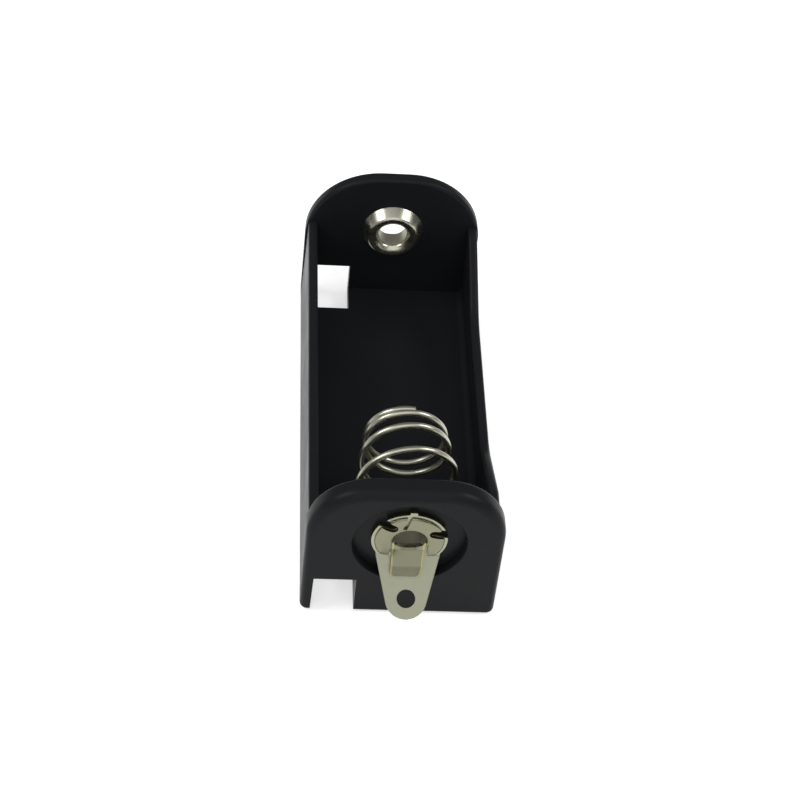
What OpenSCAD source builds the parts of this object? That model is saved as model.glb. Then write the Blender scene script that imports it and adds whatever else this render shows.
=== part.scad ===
// Holder for one N cell: a moulded trough with a coil spring riveted inside one end wall,
// a rolled eyelet as the fixed contact inside the other, and a solder lug outside each end.
// The origin is on the underside, in the middle. The length runs along Y, with the spring at -Y.

/* [Trough] */
// Length over the two end walls
body_l = 36; // [34.5:0.1:46]
// Width across the underside
body_w = 15.2; // [14.4:0.1:20]
// Height of the end walls
body_h = 14.1; // [13.2:0.1:18]
// Lean of the end walls' sides towards the top, in degrees
draft = 0.5; // [0:0.1:1.5]
// Thickness of the floor
floor_t = 1.35; // [0.8:0.05:2.4]
// Thickness of the side walls
side_t = 0.8; // [0.6:0.05:1.3]
// Lean of the side walls towards the top, in degrees
side_lean = 1.8; // [0:0.1:2.5]
// Thickness of the end wall behind the spring
spring_end_t = 1.8; // [1.3:0.1:3]
// Thickness of the end wall behind the fixed contact
contact_end_t = 1.1; // [0.8:0.1:3]
// Radius of the top corners of the spring's end wall
spring_corner_r = 5; // [1:0.1:6]
// Radius of the top corners of the fixed contact's end wall
contact_corner_r = 6.4; // [1:0.1:6.6]
// Radius of the long edges on the underside
edge_r = 0.6; // [0.2:0.1:1]
// Radius where the floor meets the side walls inside
root_r = 0.6; // [0.2:0.1:1.5]

/* [Side walls] */
// Height of the side walls where they meet the end walls
wall_h = 9.1; // [8:0.1:11]
// Height of the scooped wall along its level part
scoop_h = 5.8; // [3:0.1:6.5]
// Length of the scoop's level part
scoop_l = 14.6; // [6:0.1:22]
// Length of each ramp of the scoop
ramp_l = 7.2; // [4:0.1:8]
// Radius at the foot of each ramp
ramp_r = 6; // [1:0.5:9]
// Distance of the scoop's middle from the trough's middle, towards the fixed contact
scoop_at = 1.6; // [0:0.1:3]

/* [Lead notches] */
// Width of the notch in the floor corner at each end
notch_w = 3.4; // [1:0.1:5]
// Height of the notch in the end wall
notch_h = 4; // [1.5:0.1:4.2]
// Length of the notch along the floor, from the end's outer face
notch_l = 3.7; // [2:0.1:6]

/* [Eyelets] */
// Height of the contacts' axis above the underside
axis_h = 8.5; // [8.4:0.1:9]
// Distance of the spring's axis from the middle, towards the scooped wall
spring_x = 0.3; // [-0.5:0.05:0.5]
// Diameter of the round recess for the lug outside each end wall
recess_d = 8.7; // [7:0.1:8.8]
// Thickness of the web under the recess in the spring's end wall
web_t = 1; // [0.6:0.05:1.2]
// Thickness of the web under the recess in the fixed contact's end wall
contact_web_t = 0.4; // [0.3:0.05:0.7]
// Diameter of the hole through an eyelet
bore_d = 2.45; // [1.4:0.05:2.6]
// Thickness of an eyelet's wall
eyelet_t = 0.2; // [0.15:0.01:0.3]
// Diameter of an eyelet's rolled head
head_d = 4.9; // [4.4:0.1:5.6]
// Height of the head above its seat
head_h = 1; // [0.6:0.05:1.2]
// Diameter of the end that is turned over on the lug
flare_d = 5.3; // [4.2:0.1:5.6]
// Width of the petal that is bent out over a lug's tongue
petal_w = 2.3; // [1.4:0.1:2.5]
// Length of each of that petal's two legs
petal_l = 1; // [0.6:0.05:1.4]
// Angle that the first leg of the spring end's petal stands off the tongue, in degrees
petal_lift = 13; // [5:1:25]
// Clearance between an eyelet and the holes that it passes
fit = 0.05; // [0.02:0.01:0.1]

/* [Solder lugs] */
// Thickness of the lug's sheet
lug_t = 0.4; // [0.25:0.05:0.6]
// Diameter of the lug's round head
lug_d = 5.8; // [5.7:0.1:6.6]
// Angle that the tongue is bent out, in degrees
lug_angle = 45; // [45:1:75]
// Radius inside the tongue's bend
bend_r = 0.3; // [0.1:0.05:0.6]
// Width of the tongue at its bend
tongue_w = 4.9; // [3.6:0.1:4.9]
// Length of the tongue from its bend to its tip
tongue_l = 4.9; // [3.8:0.1:8]
// Radius of the tongue's tip
tip_r = 1.6; // [1.1:0.05:1.8]
// Diameter of the solder hole
solder_d = 1.4; // [0.8:0.05:1.6]
// Width of the slots in the lug's head and the turned-over end
slot_w = 0.75; // [0.3:0.05:1]

/* [Spring] */
// Diameter of the wire
wire_d = 0.5; // [0.4:0.05:0.7]
// Length of the free spring, from the end wall to its tip
spring_l = 9.4; // [7:0.1:13]
// Outer diameter of the widest coil, at the end wall
base_d = 9.5; // [8:0.1:10.5]
// Outer diameter of the coil at the tip
tip_d = 6.7; // [5:0.1:7.2]
// Number of coils above the end wall
coils = 4; // [3:0.5:5]
// How fast the coils close up towards the tip, where 1 is an even pitch
closing = 2.2; // [1:0.1:3]

/* [Hidden] */
$fn = 64;
cut = 1;

// The bay lies between the end walls' inner faces
bay_y0 = spring_end_t - body_l / 2;
bay_y1 = body_l / 2 - contact_end_t;

// An eyelet's barrel and the holes that it passes
bore_r = bore_d / 2;
barrel_r = bore_r + eyelet_t;
hole_r = barrel_r + fit;
head_r = head_d / 2;

// The head is a round bead between the bore and the rim, with a flat crest if it is too low for one
bead_r = min(head_h, (head_r - bore_r) / 2);
crest_w = head_r - bore_r - 2 * bead_r;

// The slots: where each starts and which way it runs, by the angle from the lug's right-hand side,
// and the neck left between it and the barrel's hole
slots = [[29, -13], [131, 157]];
slot_neck = 0.2;
slot_from = hole_r + slot_neck + slot_w / 2;
slit_angle = 104;
slit_w = 0.22;

// The tongue's bend starts just below the barrel's hole
bend_gap = 0.03;
bend_at = hole_r + bend_gap;
// A petal's first leg rises off the tongue, and its second comes down to a clearance from it.
// The fixed contact's petal lies along the tongue and leaves its bore open
petal_gap = 0.03;
contact_lift = 1;
bend_steps = 6;
function petal_angle(lift) = 90 - lug_angle - lift;
function petal_rise(lift) = bend_gap * sin(lug_angle) + bend_r * (1 - cos(lug_angle))
    + petal_gap * cos(lift) + petal_l * sin(lift);
function petal_tip_angle(lift) = acos((fit - petal_rise(lift)) / petal_l) - lug_angle;
// The nib left on the head where the lug was parted from its strip
nib_w = 0.55;
nib_h = 0.25;
nib_at = 0.1;

// The spring's loop lies under the rim of the eyelet's head
wire_r = wire_d / 2;
loop_r = head_r - eyelet_t / 2;
base_r = base_d / 2 - wire_r;
tip_coil_r = tip_d / 2 - wire_r;
rise = spring_l - wire_d;
loop_turn = 270;
spiral_gap = 0.1;
spiral_turn = (base_r - loop_r) / (wire_d + spiral_gap) * (360 - loop_turn);
cone_turn = coils * 360;
wire_turn = loop_turn + spiral_turn + cone_turn;
tip_angle = 80;
wire_sides = 8;
rings_per_turn = 28;
rings = ceil(wire_turn / 360 * rings_per_turn);

// Half the width at a height: over the end walls, over the side walls and between them
function end_half_w(z) = body_w / 2 - z * tan(draft);
function side_half_w(z) = body_w / 2 - z * tan(side_lean);
function inner_half_w(z) = side_half_w(z) - side_t;

// Upright trapezoid on the X axis with round corners: widths and radii at the bottom and at the top
module trapezoid(w0, w1, h, r0, r1) {
    lean = atan((w1 - w0) / 2 / h);
    function side_x(z) = w0 / 2 + z * tan(lean);
    x0 = side_x(r0) - r0 / cos(lean);
    x1 = side_x(h - r1) - r1 / cos(lean);
    right = [
        [x0, 0],
        [x0 + r0 * cos(lean), r0 - r0 * sin(lean)],
        [x1 + r1 * cos(lean), h - r1 - r1 * sin(lean)],
        [x1, h]
    ];
    left = [for (i = [3:-1:0]) [-right[i][0], right[i][1]]];
    polygon(concat(right, left));
    for (s = [-1, 1]) {
        if (r0 > 0) translate([s * x0, r0]) circle(r0);
        if (r1 > 0) translate([s * x1, h - r1]) circle(r1);
    }
}

// Extrudes an X-Z outline along Y from one place to another
module along_y(y0, y1) {
    translate([0, y1, 0]) rotate([90, 0, 0]) linear_extrude(y1 - y0) children();
}

// Puts an end's hardware in place: z points out of the holder, from the face that the lug lies on
module at_spring_end() {
    translate([spring_x, bay_y0 - web_t, axis_h]) rotate([90, 0, 0]) children();
}
module at_contact_end() {
    translate([0, bay_y1 + contact_web_t, axis_h]) rotate([90, 0, 180]) children();
}

// Outline of an end wall
module end_outline(corner_r) {
    trapezoid(body_w, 2 * end_half_w(body_h), body_h, edge_r, corner_r);
}

// Section of the trough: floor and side walls round the bay
module trough_section() {
    bay_h = wall_h + cut - floor_t;
    difference() {
        trapezoid(body_w, 2 * side_half_w(wall_h), wall_h, edge_r, 0);
        translate([0, floor_t])
            trapezoid(2 * inner_half_w(floor_t), 2 * inner_half_w(wall_h + cut), bay_h, root_r, 0);
    }
}

// Finger scoop through the right-hand side wall
module scoop() {
    depth = wall_h - scoop_h;
    past = 1 + cut / depth;
    translate([0, scoop_at, scoop_h]) rotate([90, 0, 90]) linear_extrude(body_w)
        trapezoid(scoop_l, scoop_l + 2 * ramp_l * past, depth * past, ramp_r, 0);
}

// Notch in the left-hand floor corner, open below
module notch_section() {
    right = notch_w - inner_half_w(0);
    polygon([
        [-inner_half_w(-cut), -cut],
        [right, -cut],
        [right, notch_h],
        [-inner_half_w(notch_h), notch_h]
    ]);
}

// Hole for an eyelet through a wall of a thickness
module eyelet_hole(wall) {
    translate([0, 0, -wall - cut]) cylinder(r = hole_r, h = wall + 2 * cut);
}

// Moulded trough, one piece
module housing() {
    color([0.09, 0.09, 0.1]) difference() {
        union() {
            along_y(-body_l / 2, bay_y0) end_outline(spring_corner_r);
            along_y(bay_y1, body_l / 2) end_outline(contact_corner_r);
            difference() {
                along_y(bay_y0, bay_y1) trough_section();
                scoop();
            }
        }
        along_y(-body_l / 2 - cut, notch_l - body_l / 2) notch_section();
        along_y(body_l / 2 - notch_l, body_l / 2 + cut) notch_section();
        at_spring_end() {
            cylinder(r = recess_d / 2, h = spring_end_t + cut);
            eyelet_hole(web_t);
        }
        at_contact_end() {
            cylinder(r = recess_d / 2, h = contact_end_t + cut);
            eyelet_hole(contact_web_t);
        }
    }
}

// Quarter bend of an eyelet's wall, from an angle on
module quarter_bend(r, from) {
    rotate(from) intersection() {
        difference() {
            circle(r);
            circle(r - eyelet_t);
        }
        square(r);
    }
}

// Section of an eyelet's barrel and head: the wall is rolled into a bead and turned back to the seat.
// The seat is the distance from the lug's face to the rim of the head
module eyelet_section(seat) {
    crest_z = -seat - head_h;
    bead_z = crest_z + bead_r;
    translate([bore_r, bead_z]) square([eyelet_t, lug_t + fit - bead_z]);
    translate([bore_r + bead_r, bead_z]) quarter_bend(bead_r, 180);
    if (crest_w > 0) translate([bore_r + bead_r, crest_z]) square([crest_w, eyelet_t]);
    translate([head_r - bead_r, bead_z]) quarter_bend(bead_r, 270);
    if (head_h > bead_r) translate([head_r - eyelet_t, bead_z]) square([eyelet_t, head_h - bead_r]);
}

// Section of the turned-over end: bend about the lug hole's edge, and flat lip
module flare_section() {
    translate([hole_r, lug_t]) quarter_bend(fit + eyelet_t, 90);
    translate([hole_r, lug_t + fit]) square([flare_d / 2 - hole_r, eyelet_t]);
}

// Section of a petal: bend, first leg, and second leg down to the tongue
module petal_section(lift) {
    function ahead(angle) = [sin(angle), cos(angle)];
    function above(angle) = [-cos(angle), sin(angle)];
    function bend(r) = [for (i = [0:bend_steps]) [hole_r, lug_t] + r * above(i / bend_steps * leg)];
    function reversed(list) = [for (i = [len(list) - 1:-1:0]) list[i]];
    leg = petal_angle(lift);
    tip_leg = petal_tip_angle(lift);
    half_fold = (tip_leg - leg) / 2;
    crease = [hole_r, lug_t] + petal_gap * above(leg) + petal_l * ahead(leg);
    tip = crease + petal_l * ahead(tip_leg);
    legs = [
        crease + eyelet_t / cos(half_fold) * above(leg + half_fold),
        tip + eyelet_t * above(tip_leg),
        tip,
        crease
    ];
    polygon(concat(bend(petal_gap + eyelet_t), legs, reversed(bend(petal_gap))));
}

// Straight cut with a round end, from a place at an angle round the eyelet, in a direction
module rim_slot(at, direction, width, from) {
    rotate(at) translate([from, 0]) rotate(direction - at) {
        translate([0, -width / 2]) square([lug_d, width]);
        circle(width / 2);
    }
}

// Tubular rivet: rolled head inside, and outside a split end turned over on the lug's flat head,
// with one petal bent down over the lug's tongue
module eyelet(seat, lift) {
    petal_room = [petal_w + 2 * slit_w, flare_d, flare_d];
    rotate_extrude() eyelet_section(seat);
    difference() {
        rotate_extrude() flare_section();
        translate([-petal_room[0] / 2, -petal_room[1], lug_t]) cube(petal_room);
        translate([-flare_d, -bend_at - flare_d, lug_t]) cube([2 * flare_d, flare_d, flare_d]);
        translate([0, 0, lug_t]) linear_extrude(flare_d) {
            for (slot = slots) rim_slot(slot[0], slot[1], slot_w, slot_from);
            rim_slot(slit_angle, slit_angle, slit_w, hole_r);
        }
    }
    rotate([90, 0, -90]) linear_extrude(petal_w, center = true) petal_section(lift);
}

module negative_eyelet() {
    color([0.8, 0.8, 0.74]) at_spring_end() eyelet(web_t + wire_d, petal_lift);
}

module positive_eyelet() {
    color([0.8, 0.8, 0.74]) at_contact_end() eyelet(contact_web_t, contact_lift);
}

// Outline of the lug's flat head, cut off at the bend
module lug_head() {
    difference() {
        union() {
            circle(lug_d / 2);
            translate([nib_at - nib_w / 2, 0]) square([nib_w, lug_d / 2 + nib_h]);
        }
        circle(hole_r);
        for (slot = slots) rim_slot(slot[0], slot[1], slot_w, slot_from);
        translate([-lug_d, -bend_at - lug_d]) square([2 * lug_d, lug_d]);
    }
}

// Outline of the tongue, from the bend at y = 0 down to its round tip, with the solder hole
module lug_tongue() {
    tip_y = tip_r - tongue_l;
    lean = asin((tongue_w / 2 - tip_r) / -tip_y);
    difference() {
        union() {
            polygon([
                [-tongue_w / 2, 0],
                [-tip_r * cos(lean), tip_y - tip_r * sin(lean)],
                [tip_r * cos(lean), tip_y - tip_r * sin(lean)],
                [tongue_w / 2, 0]
            ]);
            translate([0, tip_y]) circle(tip_r);
        }
        translate([0, tip_y]) circle(solder_d / 2);
    }
}

// Stamped solder lug: flat head round the eyelet, bend, and a tongue that leans out
module lug() {
    bend_out = bend_r + lug_t;
    linear_extrude(lug_t) lug_head();
    translate([0, -bend_at, bend_out]) {
        rotate([0, -90, 0]) translate([0, 0, -tongue_w / 2]) linear_extrude(tongue_w)
            intersection() {
                difference() {
                    circle(bend_out);
                    circle(bend_r);
                }
                polygon([
                    [0, 0],
                    [-2 * bend_out, 0],
                    [-2 * bend_out, -2 * bend_out * tan(lug_angle / 2)],
                    -2 * bend_out * [cos(lug_angle), sin(lug_angle)]
                ]);
            }
        rotate([-lug_angle, 0, 0]) translate([0, 0, -bend_out]) linear_extrude(lug_t) lug_tongue();
    }
}

module negative_lug() {
    color([0.74, 0.74, 0.66]) at_spring_end() lug();
}

module positive_lug() {
    color([0.74, 0.74, 0.66]) at_contact_end() lug();
}

// The wire's path by its turn in degrees: loop under the eyelet's head, flat spiral on the end
// wall, then a cone of coils that close up towards the tip
function cone_share(turn) =
    1 - pow(1 - min(1, max(0, turn - loop_turn - spiral_turn) / cone_turn), closing);
function spiral_share(turn) = min(1, max(0, turn - loop_turn) / spiral_turn);
function path_r(turn) =
    loop_r + (base_r - loop_r) * spiral_share(turn) + (tip_coil_r - base_r) * cone_share(turn);
function path_y(turn) = bay_y0 + wire_r + rise * cone_share(turn);
function path_angle(turn) = tip_angle + wire_turn - turn;
function radial(turn) = [cos(path_angle(turn)), 0, sin(path_angle(turn))];
function path(turn) = [spring_x, path_y(turn), axis_h] + path_r(turn) * radial(turn);

// One ring of the wire's skin, square to the path
function unit(v) = v / norm(v);
function wire_ring(turn) =
    let (ahead = unit(path(min(wire_turn, turn + 1)) - path(max(0, turn - 1))))
    let (out = unit(radial(turn) - (radial(turn) * ahead) * ahead))
    let (up = cross(ahead, out))
    [for (k = [0:wire_sides - 1]) let (a = k * 360 / wire_sides)
        path(turn) + wire_r * (cos(a) * out + sin(a) * up)];

// Conical contact spring, one wire swept along its path
module spring() {
    points = [for (i = [0:rings]) each wire_ring(i * wire_turn / rings)];
    sides = [for (i = [0:rings - 1], k = [0:wire_sides - 1])
        let (a = i * wire_sides + k, b = i * wire_sides + (k + 1) % wire_sides)
        each [[a, b, b + wire_sides], [a, b + wire_sides, a + wire_sides]]];
    start_cap = [for (k = [wire_sides - 1:-1:0]) k];
    end_cap = [for (k = [0:wire_sides - 1]) rings * wire_sides + k];
    color([0.78, 0.78, 0.74]) polyhedron(points, concat(sides, [start_cap, end_cap]));
}

housing();
spring();
negative_eyelet();
negative_lug();
positive_eyelet();
positive_lug();
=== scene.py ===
import math
import bmesh
import bpy
from mathutils import Matrix, Vector


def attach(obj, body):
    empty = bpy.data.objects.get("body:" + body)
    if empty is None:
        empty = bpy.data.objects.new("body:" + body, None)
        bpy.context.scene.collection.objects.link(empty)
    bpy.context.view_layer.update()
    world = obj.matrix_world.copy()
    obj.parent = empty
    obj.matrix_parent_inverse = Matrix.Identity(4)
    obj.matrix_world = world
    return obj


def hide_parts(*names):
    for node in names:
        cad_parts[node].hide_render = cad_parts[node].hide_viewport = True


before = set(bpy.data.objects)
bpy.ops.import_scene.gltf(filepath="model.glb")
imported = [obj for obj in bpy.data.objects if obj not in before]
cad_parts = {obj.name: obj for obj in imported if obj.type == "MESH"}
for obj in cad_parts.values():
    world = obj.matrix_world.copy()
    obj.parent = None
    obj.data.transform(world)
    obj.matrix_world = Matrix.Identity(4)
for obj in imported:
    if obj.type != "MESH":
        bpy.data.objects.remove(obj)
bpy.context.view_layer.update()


# Trough. One moulding in black ABS, satin from a spark-eroded mould. Its end walls carry the
# contacts, and the low stretch of one side wall lets a finger lift the cell out. Every edge that
# the mould's halves leave open is rounded, most of all round the outsides of the end walls.

mm = 0.001
near_out, near_in, far_in, far_out = (y * mm for y in (-18, -16.2, 16.9, 18))
spring_axis = Vector((0.3, 0, 8.5)) * mm
contact_axis = Vector((0, 0, 8.5)) * mm
recess_r = 4.35 * mm
notch_left, notch_right, notch_top = -6.85 * mm, -3.3 * mm, 4.05 * mm
crown_round, outline_round = 0.8 * mm, 0.45 * mm
crown_from, crown_to = 8 * mm, 12 * mm
back_round = 0.25 * mm
brim_round, near_brim_from, far_brim_from = 0.3 * mm, 9.6 * mm, 9.2 * mm
eyelet_room = 2 * mm
wall_round, wall_from = 0.3 * mm, 5.7 * mm
rim_round = 0.1 * mm
rounding_steps = 6
rounded_from, flat_within = math.radians(40), math.radians(0.5)
tiny = 0.01 * mm


def merged_copy(node):
    """A CAD node's mesh with its doubles merged and its flat faces joined."""
    bm = bmesh.new()
    bm.from_mesh(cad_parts[node].data)
    bmesh.ops.remove_doubles(bm, verts=bm.verts, dist=0.1 * tiny)
    bmesh.ops.dissolve_limit(
        bm, angle_limit=flat_within, verts=bm.verts, edges=bm.edges, delimit={"MATERIAL"})
    return bm


def halve(bm, y, x):
    """Splits an end wall's flat face down its middle, so that no seam runs into a corner."""
    flat = [f for f in bm.faces if all(abs(v.co.y - y) < tiny for v in f.verts)]
    parts = flat + list({e for f in flat for e in f.edges}) + list({v for f in flat for v in f.verts})
    bmesh.ops.bisect_plane(bm, geom=parts, dist=tiny, plane_co=(x, 0, 0), plane_no=(1, 0, 0))
    seams = [e for e in bm.edges if len(e.link_faces) == 2
             and all(abs(v.co.y - y) < tiny for f in e.link_faces for v in f.verts)
             and any(abs(v.co.x - x) > tiny for v in e.verts)]
    bmesh.ops.dissolve_edges(bm, edges=seams, use_verts=False)


def new_piece(bm, name, *materials):
    """A mesh object at the origin, made from a bmesh, with its materials."""
    mesh = bpy.data.meshes.new(name)
    bm.to_mesh(mesh)
    bm.free()
    for material in materials:
        mesh.materials.append(material)
    piece = bpy.data.objects.new(name, mesh)
    bpy.context.scene.collection.objects.link(piece)
    return piece


def settle(piece):
    """Turns a piece's modifiers into plain mesh."""
    depsgraph = bpy.context.evaluated_depsgraph_get()
    old, mesh = piece.data, bpy.data.meshes.new_from_object(piece.evaluated_get(depsgraph))
    piece.modifiers.clear()
    piece.data = mesh
    bpy.data.meshes.remove(old)
    mesh.name = piece.name


def smooth(piece, sharp_from):
    """Shades a piece smooth up to an angle in degrees, with its flat faces kept flat."""
    bm = bmesh.new()
    bm.from_mesh(piece.data)
    for face in bm.faces:
        face.smooth = True
    for edge in bm.edges:
        edge.smooth = edge.calc_face_angle(math.pi) < math.radians(sharp_from)
    bm.to_mesh(piece.data)
    bm.free()
    piece.modifiers.new("flat faces", "WEIGHTED_NORMAL").keep_sharp = True
    settle(piece)


def trough_round(edge):
    """How far an edge of the trough is rounded; the lead notches and the inner corners stay sharp."""
    if edge.calc_face_angle_signed(0) < rounded_from:
        return 0
    a, b = (v.co for v in edge.verts)
    middle = (a + b) / 2
    lowest = min(a.z, b.z)
    if notch_left < middle.x < notch_right and middle.z < notch_top:
        return 0
    if abs(a.y - b.y) > tiny:
        along_wall = near_in - tiny < middle.y < far_in + tiny
        return wall_round if along_wall and lowest > wall_from else 0
    from_spring = Vector((middle.x - spring_axis.x, middle.z - spring_axis.z)).length
    from_contact = Vector((middle.x - contact_axis.x, middle.z - contact_axis.z)).length
    if abs(middle.y - near_out) < tiny:
        share = min(1, max(0, (middle.z - crown_from) / (crown_to - crown_from)))
        outline = outline_round + (crown_round - outline_round) * share * share * (3 - 2 * share)
        return outline if from_spring > recess_r + tiny else rim_round
    if abs(middle.y - far_out) < tiny:
        return back_round if from_contact > recess_r + tiny else rim_round
    if abs(middle.y - near_in) < tiny and lowest > near_brim_from and from_spring > eyelet_room:
        return brim_round
    if abs(middle.y - far_in) < tiny and lowest > far_brim_from and from_contact > eyelet_room:
        return brim_round
    return 0


def linear(colour):
    """An sRGB hex colour as linear RGBA."""
    parts = [int(colour[i:i + 2], 16) / 255 for i in (1, 3, 5)]
    return [p / 12.92 if p <= 0.04045 else ((p + 0.055) / 1.055) ** 2.4 for p in parts] + [1]


def add(tree, kind, settings={}, inputs={}):
    """Adds a node with its settings; each input takes a value or a link."""
    node = tree.nodes.new(kind)
    for name, value in settings.items():
        setattr(node, name, value)
    for key, value in inputs.items():
        if isinstance(value, bpy.types.NodeSocket):
            tree.links.new(value, node.inputs[key])
        else:
            node.inputs[key].default_value = value
    return node


# Moulded ABS: near black all through, a soft gloss with a fine grain from the eroded mould. A real
# grain is nearer 0.05 mm, and is drawn coarser here so that it shows
grain, grain_depth = 0.12 * mm, 0.01 * mm
cloud = 4 * mm
noise_low, noise_high = 0.3, 0.7
black_abs = bpy.data.materials.new("moulded black ABS")
black_abs.use_nodes = True
tree = black_abs.node_tree
skin = tree.nodes["Principled BSDF"]
skin.inputs["Base Color"].default_value = linear("#1e1f21")
skin.inputs["IOR"].default_value = 1.5
skin.inputs["Specular IOR Level"].default_value = 0.07
place = add(tree, "ShaderNodeTexCoord").outputs["Object"]
patches = add(tree, "ShaderNodeTexNoise", {}, {"Vector": place, "Scale": 1 / cloud, "Detail": 3})
gloss = add(tree, "ShaderNodeMapRange", {}, {
    "Value": patches.outputs["Fac"], "From Min": noise_low, "From Max": noise_high,
    "To Min": 0.3, "To Max": 0.38})
tree.links.new(gloss.outputs["Result"], skin.inputs["Roughness"])
grit = add(tree, "ShaderNodeTexNoise", {}, {"Vector": place, "Scale": 1 / grain, "Detail": 2})
bumps = add(tree, "ShaderNodeBump", {}, {
    "Height": grit.outputs["Fac"], "Strength": 0.15, "Distance": grain_depth})
tree.links.new(bumps.outputs["Normal"], skin.inputs["Normal"])

bm = merged_copy("housing")
for y, x in ((near_out, spring_axis.x), (near_in, spring_axis.x), (far_in, 0), (far_out, 0)):
    halve(bm, y, x)
weights = bm.edges.layers.float.new("bevel_weight_edge")
for edge in bm.edges:
    edge[weights] = trough_round(edge) / crown_round
trough = new_piece(bm, "trough", black_abs)
rounding = trough.modifiers.new("rounding", "BEVEL")
rounding.limit_method = "WEIGHT"
rounding.width = crown_round
rounding.segments = rounding_steps
rounding.use_clamp_overlap = False
settle(trough)
smooth(trough, 35)
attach(trough, "root")
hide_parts("housing")


# Solder lugs. Stamped from brass strip, nickel-plated before stamping, so that the sheared edges
# show bare brass. Each lies on the outside of an end wall, under its eyelet's turned-over rim, with
# its tongue bent out at 45 degrees for the lead.

lug_edge = 0.05 * mm
bore_r, sheet, fit = 1.225 * mm, 0.2 * mm, 0.05 * mm
hole_r = bore_r + sheet + fit
sheared_from, half_bend = 0.2, math.radians(23)
plain, sheared = 0, 1
gloss_spread = 0.03


def satin_metal(name, colour, roughness, patch):
    """A plated or bare metal whose gloss varies a little, in patches of a size."""
    metal = bpy.data.materials.new(name)
    metal.use_nodes = True
    tree = metal.node_tree
    skin = tree.nodes["Principled BSDF"]
    skin.inputs["Base Color"].default_value = linear(colour)
    skin.inputs["Metallic"].default_value = 1
    place = add(tree, "ShaderNodeTexCoord").outputs["Object"]
    marks = add(tree, "ShaderNodeTexNoise", {}, {"Vector": place, "Scale": 1 / patch, "Detail": 2})
    gloss = add(tree, "ShaderNodeMapRange", {}, {
        "Value": marks.outputs["Fac"], "From Min": noise_low, "From Max": noise_high,
        "To Min": roughness - gloss_spread, "To Max": roughness + gloss_spread})
    tree.links.new(gloss.outputs["Result"], skin.inputs["Roughness"])
    return metal


# Nickel plate on brass strip: a warm grey with a satin, slightly uneven gloss
plated_strip = satin_metal("nickel-plated brass strip", "#a2a38f", 0.42, 0.5 * mm)
# Bare brass where the sheet was sheared: yellower, and a little glossier from the die
bare_brass = satin_metal("bare sheared brass", "#a6a272", 0.3, 0.1 * mm)

for name, node, out, axis in (
    ("near_lug", "negative_lug", -1, spring_axis), ("far_lug", "positive_lug", 1, contact_axis),
):
    bm = merged_copy(node)
    weights = bm.edges.layers.float.new("bevel_weight_edge")
    for edge in bm.edges:
        middle = (edge.verts[0].co + edge.verts[1].co) / 2 - axis
        stamped = edge.calc_face_angle(0) > rounded_from
        edge[weights] = 1 if stamped and middle.xz.length > hole_r + lug_edge else 0
    upright, tilted = Vector((0, out, 0)), Vector((0, out, 1)).normalized()
    for face in bm.faces:
        facing = face.normal
        on_sheet = abs(facing.x) < sheared_from and max(
            abs(facing.dot(upright)), abs(facing.dot(tilted))) > math.cos(half_bend)
        face.material_index = plain if on_sheet else sheared
    lug = new_piece(bm, name, plated_strip, bare_brass)
    rounding = lug.modifiers.new("stamped edges", "BEVEL")
    rounding.width = lug_edge
    rounding.segments = 2
    rounding.limit_method = "WEIGHT"
    rounding.use_clamp_overlap = False
    rounding.material = plain
    settle(lug)
    smooth(lug, 40)
    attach(lug, "root")
    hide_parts(node)


# Spring. One nickel-plated steel wire, wound by machine: a loop that the eyelet's head traps, a flat
# spiral on the end wall, then a cone whose coils close up towards the free tip.

wire_d = 0.5 * mm
wire_sides = 20
rings_per_turn = 72
loop_turns, spiral_turns, cone_turns = 0.75, 0.8958, 4
wire = {
    "Loop Radius": 2.35 * mm,
    "Base Radius": 4.5 * mm,
    "Tip Radius": 3.1 * mm,
    "Rise": 8.9 * mm,
    "Closing": 2.2,
    "Loop Turns": loop_turns,
    "Flat Turns": loop_turns + spiral_turns,
    "All Turns": loop_turns + spiral_turns + cone_turns,
    "Tip Angle": math.radians(80),
    "Wire Radius": wire_d / 2,
}
seat = Vector((spring_axis.x, near_in + wire_d / 2, spring_axis.z))

# Nickel on drawn steel: a satin gloss, so that the lights run along the coils as soft lines
plated_wire = satin_metal("nickel-plated spring wire", "#bdbdac", 0.32, 0.5 * mm)

tree = bpy.data.node_groups.new("wound wire", "GeometryNodeTree")
tree.interface.new_socket("Wire", in_out="OUTPUT", socket_type="NodeSocketGeometry")
sockets = {
    name: tree.interface.new_socket(name, in_out="INPUT", socket_type="NodeSocketFloat") for name in wire}
sockets["Seat"] = tree.interface.new_socket("Seat", in_out="INPUT", socket_type="NodeSocketVector")
sockets["Rings"] = tree.interface.new_socket("Rings", in_out="INPUT", socket_type="NodeSocketInt")
sockets["Sides"] = tree.interface.new_socket("Sides", in_out="INPUT", socket_type="NodeSocketInt")
sockets["Metal"] = tree.interface.new_socket("Metal", in_out="INPUT", socket_type="NodeSocketMaterial")
given = add(tree, "NodeGroupInput").outputs
line = add(tree, "GeometryNodeCurvePrimitiveLine")
path = add(tree, "GeometryNodeResampleCurve", {"mode": "COUNT"}, {
    "Curve": line.outputs["Curve"], "Count": given["Rings"]})
share = add(tree, "GeometryNodeSplineParameter").outputs["Factor"]
turn = add(tree, "ShaderNodeMath", {"operation": "MULTIPLY"}, {0: share, 1: given["All Turns"]})
widening = add(tree, "ShaderNodeMapRange", {}, {
    "Value": turn.outputs[0], "From Min": given["Loop Turns"], "From Max": given["Flat Turns"],
    "To Min": given["Loop Radius"], "To Max": given["Base Radius"]})
still_to_go = add(tree, "ShaderNodeMapRange", {}, {
    "Value": turn.outputs[0], "From Min": given["Flat Turns"], "From Max": given["All Turns"],
    "To Min": 1, "To Max": 0})
open_share = add(tree, "ShaderNodeMath", {"operation": "POWER"}, {
    0: still_to_go.outputs["Result"], 1: given["Closing"]})
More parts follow.
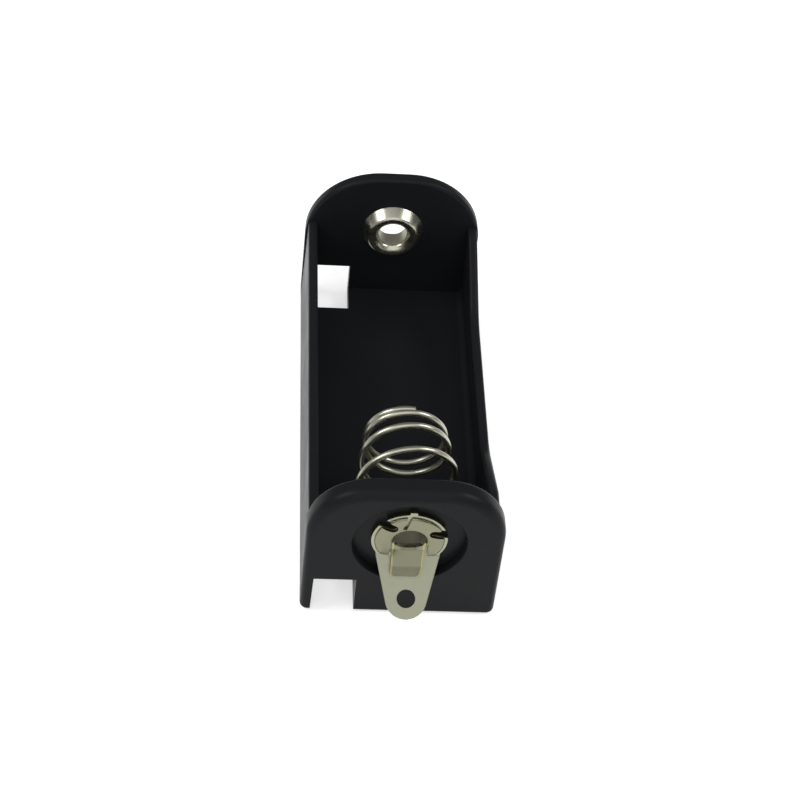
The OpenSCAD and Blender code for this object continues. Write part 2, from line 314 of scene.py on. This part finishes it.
narrowing = add(tree, "ShaderNodeMapRange", {}, {
    "Value": open_share.outputs[0], "From Min": 1, "From Max": 0,
    "To Min": given["Base Radius"], "To Max": given["Tip Radius"]})
rising = add(tree, "ShaderNodeMapRange", {}, {
    "Value": open_share.outputs[0], "From Min": 1, "From Max": 0, "To Min": 0, "To Max": given["Rise"]})
radius = add(tree, "ShaderNodeMath", {"operation": "MINIMUM"}, {
    0: widening.outputs["Result"], 1: narrowing.outputs["Result"]})
turns_left = add(tree, "ShaderNodeMath", {"operation": "SUBTRACT"}, {
    0: given["All Turns"], 1: turn.outputs[0]})
angle = add(tree, "ShaderNodeMath", {"operation": "MULTIPLY_ADD"}, {
    0: turns_left.outputs[0], 1: 2 * math.pi, 2: given["Tip Angle"]})
across = add(tree, "ShaderNodeMath", {"operation": "COSINE"}, {0: angle.outputs[0]})
upward = add(tree, "ShaderNodeMath", {"operation": "SINE"}, {0: angle.outputs[0]})
around = add(tree, "ShaderNodeCombineXYZ", {}, {"X": across.outputs[0], "Z": upward.outputs[0]})
swept = add(tree, "ShaderNodeVectorMath", {"operation": "SCALE"}, {
    0: around.outputs["Vector"], "Scale": radius.outputs[0]})
lifted = add(tree, "ShaderNodeCombineXYZ", {}, {"Y": rising.outputs["Result"]})
coil = add(tree, "ShaderNodeVectorMath", {"operation": "ADD"}, {
    0: swept.outputs["Vector"], 1: lifted.outputs["Vector"]})
seated = add(tree, "ShaderNodeVectorMath", {"operation": "ADD"}, {
    0: coil.outputs["Vector"], 1: given["Seat"]})
wound = add(tree, "GeometryNodeSetPosition", {}, {
    "Geometry": path.outputs["Curve"], "Position": seated.outputs["Vector"]})
section = add(tree, "GeometryNodeCurvePrimitiveCircle", {"mode": "RADIUS"}, {
    "Resolution": given["Sides"], "Radius": given["Wire Radius"]})
skin = add(tree, "GeometryNodeCurveToMesh", {}, {
    "Curve": wound.outputs["Geometry"], "Profile Curve": section.outputs["Curve"], "Fill Caps": True})
real = add(tree, "GeometryNodeRealizeInstances", {}, {"Geometry": skin.outputs["Mesh"]})
dressed = add(tree, "GeometryNodeSetMaterial", {}, {
    "Geometry": real.outputs["Geometry"], "Material": given["Metal"]})
add(tree, "NodeGroupOutput", {}, {"Wire": dressed.outputs["Geometry"]})

spring = new_piece(bmesh.new(), "contact_spring")
winding = spring.modifiers.new("winding", "NODES")
winding.node_group = tree
for name, value in wire.items():
    winding[sockets[name].identifier] = value
winding[sockets["Seat"].identifier] = seat
winding[sockets["Rings"].identifier] = round(wire["All Turns"] * rings_per_turn)
winding[sockets["Sides"].identifier] = wire_sides
winding[sockets["Metal"].identifier] = plated_wire
settle(spring)
smooth(spring, 50)
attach(spring, "root")
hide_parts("spring")


# Eyelets. Tubular rivets drawn from thin nickel-plated brass. The rolled bead of a head is inside the
# holder, and the split end outside is turned over on the lug, with one petal of it folded down over
# the lug's tongue. The bead at the far end is the positive contact itself.

near_web, far_web = 1 * mm, 0.4 * mm
rim_r, rim_fall, edge_w = 2.65 * mm, 0.55 * mm, 0.03 * mm
head_h, crest_r, mouth_h = 1 * mm, 1.95 * mm, 0.61 * mm
shoulder_r, flank = 0.3 * mm, 64
lug_t = 0.4 * mm
slot_w, slit_w, cut_h = 0.75 * mm, 0.3 * mm, 2 * mm
slit_from = hole_r + 0.2 * mm
slot_from = slit_from + slot_w / 2
bend_at = hole_r + 0.03 * mm
petal_w, petal_l, petal_tip, petal_gap = 2.3 * mm, 1 * mm, 0.8 * mm, 0.03 * mm
petal_taper, petal_skew, petal_corner = 0.08, 0.1 * mm, 0.25 * mm
root_depth, root_share, root_from = 0.9 * mm, 0.3, 0.2 * mm
bend_steps, knee_steps, half_columns = 8, 5, 10
steps = 128
# Material slots for the darker copy of the plate, which is painted shade, and for the dull plate in the
# bore
shaded, dull = 2, 3

# Bright nickel on a drawn tube: a clear gloss that the lights show in as soft bands
plated_tube = satin_metal("nickel-plated brass tube", "#c2c0b0", 0.28, 0.5 * mm)
# The tube's plate in a darker, browner copy for the turned-over end and the petal: painted shade,
# standing in for the dimmer reflection they show
shaded_plate = satin_metal("tube plate with painted shade", "#83826d", 0.25, 0.4 * mm)
# Plate inside the tube: thin and dull, because the bath hardly reaches into the bore
bore_plate = satin_metal("dull plate in a brass tube", "#c6c4b4", 0.55, 0.4 * mm)


def arc(centre, radius, start, end, count, height=None):
    """Points on an arc, round or oval, from one angle to another in degrees, both ends included."""
    angles = [math.radians(start + (end - start) * i / count) for i in range(count + 1)]
    rise = radius if height is None else height
    return [(centre[0] + radius * math.cos(a), centre[1] + rise * math.sin(a)) for a in angles]


def eyelet_section(seat):
    """The wall's outline in radius and height out from the lug's seat, before the rim is cut."""
    crest, mouth_w = -seat - head_h, crest_r - bore_r
    turned, left = math.radians(flank), head_h - shoulder_r * (1 - math.cos(math.radians(flank)))
    foot_r = crest_r + shoulder_r * math.sin(turned) + left / math.tan(turned)
    bend = (hole_r, lug_t)
    return (
        arc((crest_r, crest + shoulder_r), shoulder_r, 270 + flank, 270, 12)
        + arc((crest_r, crest + mouth_h), mouth_w, 270, 180, 18, mouth_h)[1:]
        + arc(bend, fit + sheet, 180, 90, 8)
        + arc((rim_r - rim_fall, lug_t + fit), rim_fall, 90, 0, 12, sheet)
        + arc(bend, fit, 90, 180, 4)
        + arc((crest_r, crest + mouth_h), mouth_w - sheet, 180, 270, 9, mouth_h - sheet)
        + arc((crest_r, crest + shoulder_r), shoulder_r - sheet, 270, 270 + flank, 6)[1:]
        + [(foot_r - sheet, -seat), (foot_r, -seat)])


def revolve(section):
    """A closed section turned about the z axis."""
    bm = bmesh.new()
    turned = [[bm.verts.new((r * math.cos(a), r * math.sin(a), z)) for r, z in section]
              for a in (2 * math.pi * i / steps for i in range(steps))]
    for i, ring in enumerate(turned):
        following = turned[(i + 1) % steps]
        for k in range(len(section)):
            m = (k + 1) % len(section)
            bm.faces.new((ring[k], ring[m], following[m], following[k]))
    bmesh.ops.recalc_face_normals(bm, faces=bm.faces)
    return bm


def prism(outline, low, high):
    """A flat outline in x and y, extruded from one height to another."""
    bm = bmesh.new()
    base = bm.faces.new([bm.verts.new((x, y, low)) for x, y in outline])
    grown = bmesh.ops.extrude_face_region(bm, geom=[base])["geom"]
    raised = [v for v in grown if isinstance(v, bmesh.types.BMVert)]
    bmesh.ops.translate(bm, vec=(0, 0, high - low), verts=raised)
    bmesh.ops.recalc_face_normals(bm, faces=bm.faces)
    return bm


def slot_outline(at, direction, width, start):
    """A round-ended slot out past the rim, from a place at an angle round the eyelet."""
    turn = Matrix.Rotation(math.radians(direction), 2)
    foot = Matrix.Rotation(math.radians(at), 2) @ Vector((start, 0))
    shape = arc((0, 0), width / 2, 90, 270, 10) + [(2 * rim_r, -width / 2), (2 * rim_r, width / 2)]
    return [foot + turn @ Vector(p) for p in shape]


def box_outline(x0, y0, x1, y1):
    """A rectangle between two corners."""
    return [(x0, y0), (x1, y0), (x1, y1), (x0, y1)]


def petal(first, second, flattened):
    """A petal of the tube's wall, folded out by two angles, with its root flattened by a share."""
    def above(degrees):
        return Vector((-math.cos(math.radians(degrees)), math.sin(math.radians(degrees))))

    def ahead(degrees):
        return Vector((math.sin(math.radians(degrees)), math.cos(math.radians(degrees))))

    bend = Vector((hole_r, lug_t))
    knee = bend + petal_gap * above(first) + petal_l * ahead(first)
    rows = []
    for depth in (1, 0.8, 0.6, 0.4, 0.25, 0.12):
        inside = Vector((0, -depth * root_depth))
        rows.append((
            bend + (petal_gap + sheet) * above(0) + inside, bend + petal_gap * above(0) + inside, -depth))
    for i in range(bend_steps + 1):
        lean = above(first * i / bend_steps)
        rows.append((
            bend + (petal_gap + sheet) * lean, bend + petal_gap * lean, root_share * i / bend_steps))
    for share in (0.25, 0.5, 0.75):
        root = bend + petal_gap * above(first) + share * petal_l * ahead(first)
        rows.append((root + sheet * above(first), root, root_share + (1 - root_share) * share))
    for i in range(knee_steps + 1):
        lean = above(first + (second - first) * i / knee_steps)
        rows.append((knee + sheet * lean, knee, 1))
    for share in (0.35, 0.7, 0.8, 0.88, 0.94, 0.98, 1):
        foot = knee + share * petal_tip * ahead(second)
        rows.append((foot + sheet * above(second), foot, 1 + share))

    columns = [k / half_columns for k in range(-half_columns, half_columns + 1)]
    wall_r = bore_r + sheet / 2
    bm = bmesh.new()
    skins = []
    for layer in range(2):
        grid = []
        for row in rows:
            along, depth = max(0, row[2]), max(0, -row[2])
            flat = flattened * (1 - depth) ** 2
            left = petal_tip * (2 - along)
            inset = petal_corner - math.sqrt(max(0, petal_corner ** 2 - max(0, petal_corner - left) ** 2))
            half = petal_w / 2 * (1 + petal_taper * (1 - along / 2)) - inset
            line = []
            for column in columns:
                x = column * half
                curved = (1 - flat) * math.sqrt(wall_r ** 2 - x ** 2)
                sag = wall_r - curved - flat * math.sqrt(wall_r ** 2 - half ** 2)
                y = sag * max(0, 1 - along) ** 2 - row[layer].x
                line.append(bm.verts.new((x - petal_skew * along, y, row[layer].y)))
            grid.append(line)
        skins.append(grid)
    top, under = skins
    last = len(columns) - 1
    for i in range(len(rows) - 1):
        for k in range(last):
            # the petal's edges are bare brass, its faces the darker copy of the plate, painted shade
            finish = sheared if k in (0, last - 1) else shaded
            for grid in skins:
                quad = (grid[i][k], grid[i][k + 1], grid[i + 1][k + 1], grid[i + 1][k])
                bm.faces.new(quad).material_index = finish
        for k in (0, last):
            side = (top[i][k], top[i + 1][k], under[i + 1][k], under[i][k])
            bm.faces.new(side).material_index = sheared
    for i in (0, len(rows) - 1):
        for k in range(last):
            end = (top[i][k], top[i][k + 1], under[i][k + 1], under[i][k])
            bm.faces.new(end).material_index = sheared
    bmesh.ops.remove_doubles(bm, verts=bm.verts, dist=0.01 * tiny)
    bmesh.ops.recalc_face_normals(bm, faces=bm.faces)
    return bm


room = petal_w / 2 + slit_w
cuts = [
    slot_outline(29, -13, slot_w, slot_from),
    slot_outline(131, 157, slot_w, slot_from),
    slot_outline(106, 74, slit_w, slit_from),
    box_outline(-room, -2 * rim_r, room, -root_from),
    box_outline(-2 * rim_r, -2 * rim_r, 2 * rim_r, -bend_at),
]
outward = Matrix.Rotation(math.radians(90), 4, "X")
about = Matrix.Rotation(math.radians(180), 4, "Z")
stations = {
    "near_eyelet": (
        "negative_eyelet", near_web + wire_d, (32, 63.3, 0.4),
        Matrix.Translation((spring_axis.x, near_in - near_web, spring_axis.z)) @ outward),
    "far_eyelet": (
        "positive_eyelet", far_web, (44, 51.1, 0),
        Matrix.Translation((contact_axis.x, far_in + far_web, contact_axis.z)) @ about @ outward),
}
for name, (node, seat_depth, folds, station) in stations.items():
    bm = revolve(eyelet_section(seat_depth))
    for face in bm.faces:
        middle = face.calc_center_median()
        from_edge = rim_r - middle.xy.length
        if middle.z > lug_t:
            # the turned-over end takes the darker copy of the plate, painted shade, and its cut edge bare
            # brass
            face.material_index = sheared if from_edge < edge_w else shaded
        elif middle.xy.length < bore_r + tiny:
            face.material_index = dull
    eyelet = new_piece(bm, name, plated_tube, bare_brass, shaded_plate, bore_plate)
    tools = []
    for cut in cuts:
        tool = new_piece(prism(cut, lug_t + tiny, lug_t + cut_h), "cutter", bare_brass)
        cutting = eyelet.modifiers.new("cut", "BOOLEAN")
        cutting.operation, cutting.object, cutting.solver = "DIFFERENCE", tool, "EXACT"
        cutting.material_mode = "TRANSFER"
        tools.append(tool)
    settle(eyelet)
    for tool in tools:
        bpy.data.objects.remove(tool)
    bm = petal(*folds)
    bm.from_mesh(eyelet.data)
    bm.to_mesh(eyelet.data)
    bm.free()
    smooth(eyelet, 35)
    eyelet.data.transform(station)
    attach(eyelet, "root")
    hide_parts(node)


# Studio. A sheet of white paper under the holder, a large softbox in front, a small one high on each
# side and an even grey room. The camera stands where the photograph was taken.

room_light = 0.2
paper_glow = 0.6

world = bpy.data.worlds.new("grey room")
bpy.context.scene.world = world
world.use_nodes = True
backdrop = world.node_tree.nodes["Background"]
backdrop.inputs["Color"].default_value = (1, 1, 1, 1)
backdrop.inputs["Strength"].default_value = room_light

# Matt white paper: no gloss, and a glow on top of the lamps' light that only camera, glossy and
# transmission rays see, so that it is white in the picture and in reflections
paper = bpy.data.materials.new("white paper")
paper.use_nodes = True
tree = paper.node_tree
skin = tree.nodes["Principled BSDF"]
skin.inputs["Base Color"].default_value = linear("#e8e8e8")
skin.inputs["Roughness"].default_value = 0.9
skin.inputs["Specular IOR Level"].default_value = 0
skin.inputs["Emission Color"].default_value = (1, 1, 1, 1)
rays = add(tree, "ShaderNodeLightPath").outputs
direct = add(tree, "ShaderNodeMath", {"operation": "MAXIMUM"}, {
    0: rays["Is Camera Ray"], 1: rays["Is Transmission Ray"]})
seen = add(tree, "ShaderNodeMath", {"operation": "MAXIMUM"}, {
    0: direct.outputs[0], 1: rays["Is Glossy Ray"]})
glow = add(tree, "ShaderNodeMath", {"operation": "MULTIPLY"}, {0: seen.outputs[0], 1: paper_glow})
tree.links.new(glow.outputs[0], skin.inputs["Emission Strength"])
bm = bmesh.new()
bmesh.ops.create_grid(bm, x_segments=1, y_segments=1, size=1)
bmesh.ops.translate(bm, vec=(0, 0, -tiny), verts=bm.verts)
floor = new_piece(bm, "paper", paper)

for name, power, width, height, where in (
    ("left softbox", 0.62, 0.2, 0.15, (-0.285, -0.02, 0.28)),
    ("right softbox", 0.58, 0.2, 0.15, (0.285, -0.02, 0.28)),
    ("front softbox", 1, 0.45, 0.75, (-0.03, -0.32, 0.32)),
):
    lamp = bpy.data.lights.new(name, "AREA")
    lamp.shape = "RECTANGLE"
    lamp.energy, lamp.size, lamp.size_y = power, width, height
    softbox = bpy.data.objects.new(name, lamp)
    softbox.location = where
    softbox.rotation_euler = (-softbox.location).to_track_quat("-Z", "Y").to_euler()
    bpy.context.scene.collection.objects.link(softbox)

focal_px, picture_px = 2021, 800
stand = Vector((-13.277, -113.12, 126.278)) * mm
yaw, pitch, roll = (math.radians(a) for a in (6.903, 46.775, 7.013))
ahead = Vector((math.sin(yaw) * math.cos(pitch), math.cos(yaw) * math.cos(pitch), -math.sin(pitch)))
level = ahead.cross(Vector((0, 0, 1))).normalized()
upright = level.cross(ahead)
right = math.cos(roll) * level + math.sin(roll) * upright
up = math.cos(roll) * upright - math.sin(roll) * level
lens = bpy.data.cameras.new("camera")
lens.sensor_width = 36
lens.lens = focal_px / picture_px * lens.sensor_width
lens.clip_start, lens.clip_end = 0.005, 10
camera = bpy.data.objects.new("camera", lens)
camera.matrix_world = Matrix((right, up, -ahead)).transposed().to_4x4()
camera.location = stand
bpy.context.scene.collection.objects.link(camera)
bpy.context.scene.camera = camera
bpy.context.scene.view_settings.view_transform = "Standard"
